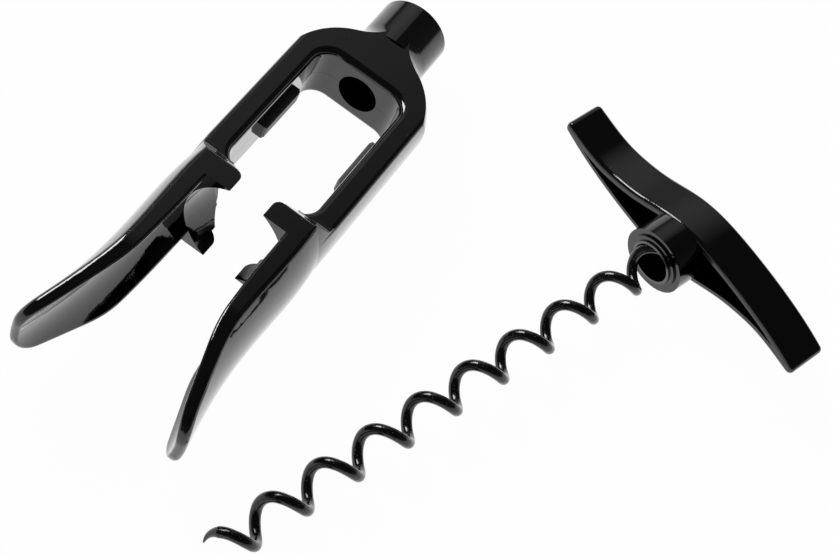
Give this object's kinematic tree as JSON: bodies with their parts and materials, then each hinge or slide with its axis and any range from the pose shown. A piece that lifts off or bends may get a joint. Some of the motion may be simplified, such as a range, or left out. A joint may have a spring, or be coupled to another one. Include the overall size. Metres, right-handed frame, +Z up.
{
  "type": "continuous-pull corkscrew",
  "caption": "Continuous-pull corkscrew taken apart: a one-piece straddle frame with a guide bore, lip seats and clasping legs, and a cross handle with a long open helical worm.",
  "frame": {"origin": "centre of the bounding box of both units, on the surface that they lie on", "axes": "+Y along the frame from its legs to its neck, +X towards the screw that lies beside it, +Z up"},
  "size_m": [0.1484, 0.1536, 0.0304],
  "materials": {
    "frame_plastic": "polished black moulding",
    "handle_plastic": "polished black moulding",
    "pad_rubber": "dull black",
    "bush_plastic": "dull black",
    "worm_coating": "black non-stick coat on steel wire"
  },
  "bodies": {
    "frame": {"straddle_frame": "frame_plastic", "grip_pad_left": "pad_rubber", "grip_pad_right": "pad_rubber"},
    "bush": {"hub_bush": "bush_plastic"},
    "screw": {"handle": "handle_plastic", "worm": "worm_coating"}
  },
  "joints": [
    {"name": "screw_draw", "type": "slide", "parent": "frame", "child": "bush", "axis": [0.3171, 0.9478, 0.0328], "range_m": [0, 0.105]},
    {"name": "screw_turn", "type": "hinge", "parent": "bush", "child": "screw", "pos_m": [0.02935, 0.0463, 0.00891], "axis": [0.3171, 0.9478, 0.0328], "continuous": true}
  ]
}
